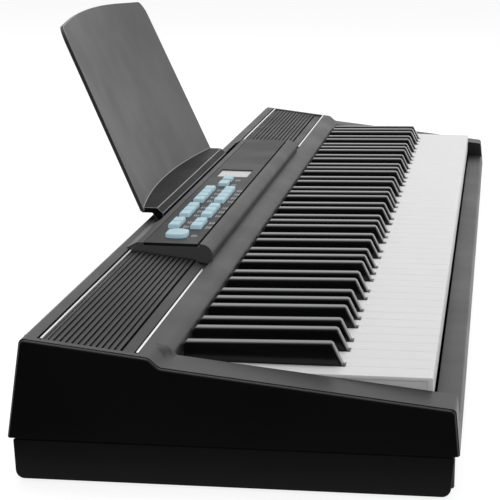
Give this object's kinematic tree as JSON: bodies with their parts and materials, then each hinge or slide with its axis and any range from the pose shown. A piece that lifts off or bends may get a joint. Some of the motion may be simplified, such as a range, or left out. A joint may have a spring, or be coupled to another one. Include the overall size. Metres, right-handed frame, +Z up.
{
  "type": "digital piano",
  "caption": "Slim portable digital piano: full keyboard between solid cheeks, raised control block with buttons and display, ribbed speaker grilles, lift-out bowed music rest",
  "frame": {"origin": "on the floor under the feet, at the middle of the outer box in length and depth", "axes": "+X to the player's right (high notes), +Y to the rear, away from the player, +Z up"},
  "size_m": [1.3, 0.325, 0.2281],
  "materials": {
    "case_plastic": "fine-grained moulded, nearly black",
    "tray_plastic": "fine-grained moulded, nearly black",
    "panel_plastic": "satin dark grey",
    "grille_plastic": "satin dark grey",
    "bright_trim": "polished",
    "white_key_plastic": "smooth, slightly satin",
    "black_key_plastic": "gloss",
    "button_plastic": "pale blue, satin",
    "display_plastic": "clear over a pale grey display",
    "display_metal": "plain",
    "circuit_board": "solder-resist green",
    "frame_metal": "zinc grey",
    "spring_steel": "bare",
    "screw_steel": "blackened",
    "felt": "pressed felt",
    "speaker_metal": "black basket with a paper cone",
    "socket_plastic": "black",
    "rest_plastic": "satin dark grey",
    "foot_rubber": "matt"
  },
  "bodies": {
    "case": {"lower_case": "tray_plastic", "upper_case": "case_plastic", "rubber_feet": "foot_rubber", "case_screws": "screw_steel", "control_panel": "panel_plastic", "display_window": "display_plastic", "display_module": "display_metal", "button_board": "circuit_board", "left_grille": "grille_plastic", "right_grille": "grille_plastic", "left_grille_trims": "bright_trim", "right_grille_trims": "bright_trim", "left_speaker": "speaker_metal", "right_speaker": "speaker_metal", "key_frame": "frame_metal", "press_felt": "felt", "rest_felt": "felt", "key_contact_board": "circuit_board", "hold_down_comb": "spring_steel", "main_board": "circuit_board", "jack_board": "circuit_board", "phone_jacks": "socket_plastic", "power_inlet": "socket_plastic"},
    "white_key_c4": {"white_key_c4": "white_key_plastic"},
    "white_key_d4": {"white_key_d4": "white_key_plastic"},
    "white_key_e4": {"white_key_e4": "white_key_plastic"},
    "white_key_f4": {"white_key_f4": "white_key_plastic"},
    "white_key_g4": {"white_key_g4": "white_key_plastic"},
    "white_key_a4": {"white_key_a4": "white_key_plastic"},
    "white_key_b4": {"white_key_b4": "white_key_plastic"},
    "black_key_c_sharp4": {"black_key_c_sharp4": "black_key_plastic"},
    "black_key_d_sharp4": {"black_key_d_sharp4": "black_key_plastic"},
    "black_key_f_sharp4": {"black_key_f_sharp4": "black_key_plastic"},
    "black_key_g_sharp4": {"black_key_g_sharp4": "black_key_plastic"},
    "black_key_a_sharp4": {"black_key_a_sharp4": "black_key_plastic"},
    "white_keys_octave_0": {"white_keys_octave_0": "white_key_plastic"},
    "black_keys_octave_0": {"black_keys_octave_0": "black_key_plastic"},
    "white_keys_octave_1": {"white_keys_octave_1": "white_key_plastic"},
    "black_keys_octave_1": {"black_keys_octave_1": "black_key_plastic"},
    "white_keys_octave_2": {"white_keys_octave_2": "white_key_plastic"},
    "black_keys_octave_2": {"black_keys_octave_2": "black_key_plastic"},
    "white_keys_octave_3": {"white_keys_octave_3": "white_key_plastic"},
    "black_keys_octave_3": {"black_keys_octave_3": "black_key_plastic"},
    "white_keys_octave_5": {"white_keys_octave_5": "white_key_plastic"},
    "black_keys_octave_5": {"black_keys_octave_5": "black_key_plastic"},
    "white_keys_octave_6": {"white_keys_octave_6": "white_key_plastic"},
    "black_keys_octave_6": {"black_keys_octave_6": "black_key_plastic"},
    "white_keys_octave_7": {"white_keys_octave_7": "white_key_plastic"},
    "black_keys_octave_7": {"black_keys_octave_7": "black_key_plastic"},
    "oval_button": {"oval_button": "button_plastic"},
    "rear_buttons_left": {"rear_buttons_left": "button_plastic"},
    "rear_buttons_middle": {"rear_buttons_middle": "button_plastic"},
    "rear_buttons_right": {"rear_buttons_right": "button_plastic"},
    "front_buttons_left": {"front_buttons_left": "button_plastic"},
    "front_buttons_middle": {"front_buttons_middle": "button_plastic"},
    "front_buttons_right": {"front_buttons_right": "button_plastic"},
    "display_button_left": {"display_button_left": "button_plastic"},
    "display_button_right": {"display_button_right": "button_plastic"},
    "music_rest": {"music_rest": "rest_plastic"}
  },
  "joints": [
    {"name": "white_key_c4_press", "type": "hinge", "parent": "case", "child": "white_key_c4", "pos_m": [0, 0.01727, 0.0555], "axis": [1, 0, 0], "range_deg": [0, 3.52], "stiffness_Nm_per_rad": 0.4, "springref_deg": -11.46},
    {"name": "white_key_d4_press", "type": "hinge", "parent": "case", "child": "white_key_d4", "pos_m": [0, 0.01727, 0.0555], "axis": [1, 0, 0], "range_deg": [0, 3.52], "stiffness_Nm_per_rad": 0.4, "springref_deg": -11.46},
    {"name": "white_key_e4_press", "type": "hinge", "parent": "case", "child": "white_key_e4", "pos_m": [0, 0.01727, 0.0555], "axis": [1, 0, 0], "range_deg": [0, 3.52], "stiffness_Nm_per_rad": 0.4, "springref_deg": -11.46},
    {"name": "white_key_f4_press", "type": "hinge", "parent": "case", "child": "white_key_f4", "pos_m": [0, 0.01727, 0.0555], "axis": [1, 0, 0], "range_deg": [0, 3.52], "stiffness_Nm_per_rad": 0.4, "springref_deg": -11.46},
    {"name": "white_key_g4_press", "type": "hinge", "parent": "case", "child": "white_key_g4", "pos_m": [0, 0.01727, 0.0555], "axis": [1, 0, 0], "range_deg": [0, 3.52], "stiffness_Nm_per_rad": 0.4, "springref_deg": -11.46},
    {"name": "white_key_a4_press", "type": "hinge", "parent": "case", "child": "white_key_a4", "pos_m": [0, 0.01727, 0.0555], "axis": [1, 0, 0], "range_deg": [0, 3.52], "stiffness_Nm_per_rad": 0.4, "springref_deg": -11.46},
    {"name": "white_key_b4_press", "type": "hinge", "parent": "case", "child": "white_key_b4", "pos_m": [0, 0.01727, 0.0555], "axis": [1, 0, 0], "range_deg": [0, 3.52], "stiffness_Nm_per_rad": 0.4, "springref_deg": -11.46},
    {"name": "black_key_c_sharp4_press", "type": "hinge", "parent": "case", "child": "black_key_c_sharp4", "pos_m": [0, 0.01727, 0.0555], "axis": [1, 0, 0], "range_deg": [0, 5], "stiffness_Nm_per_rad": 0.4, "springref_deg": -11.46},
    {"name": "black_key_d_sharp4_press", "type": "hinge", "parent": "case", "child": "black_key_d_sharp4", "pos_m": [0, 0.01727, 0.0555], "axis": [1, 0, 0], "range_deg": [0, 5], "stiffness_Nm_per_rad": 0.4, "springref_deg": -11.46},
    {"name": "black_key_f_sharp4_press", "type": "hinge", "parent": "case", "child": "black_key_f_sharp4", "pos_m": [0, 0.01727, 0.0555], "axis": [1, 0, 0], "range_deg": [0, 5], "stiffness_Nm_per_rad": 0.4, "springref_deg": -11.46},
    {"name": "black_key_g_sharp4_press", "type": "hinge", "parent": "case", "child": "black_key_g_sharp4", "pos_m": [0, 0.01727, 0.0555], "axis": [1, 0, 0], "range_deg": [0, 5], "stiffness_Nm_per_rad": 0.4, "springref_deg": -11.46},
    {"name": "black_key_a_sharp4_press", "type": "hinge", "parent": "case", "child": "black_key_a_sharp4", "pos_m": [0, 0.01727, 0.0555], "axis": [1, 0, 0], "range_deg": [0, 5], "stiffness_Nm_per_rad": 0.4, "springref_deg": -11.46},
    {"name": "white_keys_octave_0_press", "type": "hinge", "parent": "case", "child": "white_keys_octave_0", "pos_m": [0, 0.01727, 0.0555], "axis": [1, 0, 0], "range_deg": [0, 3.52], "stiffness_Nm_per_rad": 0.8, "springref_deg": -11.46},
    {"name": "black_keys_octave_0_press", "type": "hinge", "parent": "case", "child": "black_keys_octave_0", "pos_m": [0, 0.01727, 0.0555], "axis": [1, 0, 0], "range_deg": [0, 5], "stiffness_Nm_per_rad": 0.4, "springref_deg": -11.46},
    {"name": "white_keys_octave_1_press", "type": "hinge", "parent": "case", "child": "white_keys_octave_1", "pos_m": [0, 0.01727, 0.0555], "axis": [1, 0, 0], "range_deg": [0, 3.52], "stiffness_Nm_per_rad": 2.8, "springref_deg": -11.46},
    {"name": "black_keys_octave_1_press", "type": "hinge", "parent": "case", "child": "black_keys_octave_1", "pos_m": [0, 0.01727, 0.0555], "axis": [1, 0, 0], "range_deg": [0, 5], "stiffness_Nm_per_rad": 2, "springref_deg": -11.46},
    {"name": "white_keys_octave_2_press", "type": "hinge", "parent": "case", "child": "white_keys_octave_2", "pos_m": [0, 0.01727, 0.0555], "axis": [1, 0, 0], "range_deg": [0, 3.52], "stiffness_Nm_per_rad": 2.8, "springref_deg": -11.46},
    {"name": "black_keys_octave_2_press", "type": "hinge", "parent": "case", "child": "black_keys_octave_2", "pos_m": [0, 0.01727, 0.0555], "axis": [1, 0, 0], "range_deg": [0, 5], "stiffness_Nm_per_rad": 2, "springref_deg": -11.46},
    {"name": "white_keys_octave_3_press", "type": "hinge", "parent": "case", "child": "white_keys_octave_3", "pos_m": [0, 0.01727, 0.0555], "axis": [1, 0, 0], "range_deg": [0, 3.52], "stiffness_Nm_per_rad": 2.8, "springref_deg": -11.46},
    {"name": "black_keys_octave_3_press", "type": "hinge", "parent": "case", "child": "black_keys_octave_3", "pos_m": [0, 0.01727, 0.0555], "axis": [1, 0, 0], "range_deg": [0, 5], "stiffness_Nm_per_rad": 2, "springref_deg": -11.46},
    {"name": "white_keys_octave_5_press", "type": "hinge", "parent": "case", "child": "white_keys_octave_5", "pos_m": [0, 0.01727, 0.0555], "axis": [1, 0, 0], "range_deg": [0, 3.52], "stiffness_Nm_per_rad": 2.8, "springref_deg": -11.46},
    {"name": "black_keys_octave_5_press", "type": "hinge", "parent": "case", "child": "black_keys_octave_5", "pos_m": [0, 0.01727, 0.0555], "axis": [1, 0, 0], "range_deg": [0, 5], "stiffness_Nm_per_rad": 2, "springref_deg": -11.46},
    {"name": "white_keys_octave_6_press", "type": "hinge", "parent": "case", "child": "white_keys_octave_6", "pos_m": [0, 0.01727, 0.0555], "axis": [1, 0, 0], "range_deg": [0, 3.52], "stiffness_Nm_per_rad": 2.8, "springref_deg": -11.46},
    {"name": "black_keys_octave_6_press", "type": "hinge", "parent": "case", "child": "black_keys_octave_6", "pos_m": [0, 0.01727, 0.0555], "axis": [1, 0, 0], "range_deg": [0, 5], "stiffness_Nm_per_rad": 2, "springref_deg": -11.46},
    {"name": "white_keys_octave_7_press", "type": "hinge", "parent": "case", "child": "white_keys_octave_7", "pos_m": [0, 0.01727, 0.0555], "axis": [1, 0, 0], "range_deg": [0, 3.52], "stiffness_Nm_per_rad": 3.2, "springref_deg": -11.46},
    {"name": "black_keys_octave_7_press", "type": "hinge", "parent": "case", "child": "black_keys_octave_7", "pos_m": [0, 0.01727, 0.0555], "axis": [1, 0, 0], "range_deg": [0, 5], "stiffness_Nm_per_rad": 2, "springref_deg": -11.46},
    {"name": "oval_button_press", "type": "slide", "parent": "case", "child": "oval_button", "axis": [0, 0, -1], "range_m": [0, 0.001], "stiffness_N_per_m": 300, "springref_m": -0.003},
    {"name": "rear_buttons_left_press", "type": "slide", "parent": "case", "child": "rear_buttons_left", "axis": [0, 0, -1], "range_m": [0, 0.001], "stiffness_N_per_m": 600, "springref_m": -0.003},
    {"name": "rear_buttons_middle_press", "type": "slide", "parent": "case", "child": "rear_buttons_middle", "axis": [0, 0, -1], "range_m": [0, 0.001], "stiffness_N_per_m": 900, "springref_m": -0.003},
    {"name": "rear_buttons_right_press", "type": "slide", "parent": "case", "child": "rear_buttons_right", "axis": [0, 0, -1], "range_m": [0, 0.001], "stiffness_N_per_m": 1200, "springref_m": -0.003},
    {"name": "front_buttons_left_press", "type": "slide", "parent": "case", "child": "front_buttons_left", "axis": [0, 0, -1], "range_m": [0, 0.001], "stiffness_N_per_m": 600, "springref_m": -0.003},
    {"name": "front_buttons_middle_press", "type": "slide", "parent": "case", "child": "front_buttons_middle", "axis": [0, 0, -1], "range_m": [0, 0.001], "stiffness_N_per_m": 900, "springref_m": -0.003},
    {"name": "front_buttons_right_press", "type": "slide", "parent": "case", "child": "front_buttons_right", "axis": [0, 0, -1], "range_m": [0, 0.001], "stiffness_N_per_m": 1200, "springref_m": -0.003},
    {"name": "display_button_left_press", "type": "slide", "parent": "case", "child": "display_button_left", "axis": [0, 0, -1], "range_m": [0, 0.001], "stiffness_N_per_m": 300, "springref_m": -0.003},
    {"name": "display_button_right_press", "type": "slide", "parent": "case", "child": "display_button_right", "axis": [0, 0, -1], "range_m": [0, 0.001], "stiffness_N_per_m": 300, "springref_m": -0.003},
    {"name": "music_rest_lift", "type": "slide", "parent": "case", "child": "music_rest", "axis": [0, 0, 1], "range_m": [0, 0.03]}
  ]
}
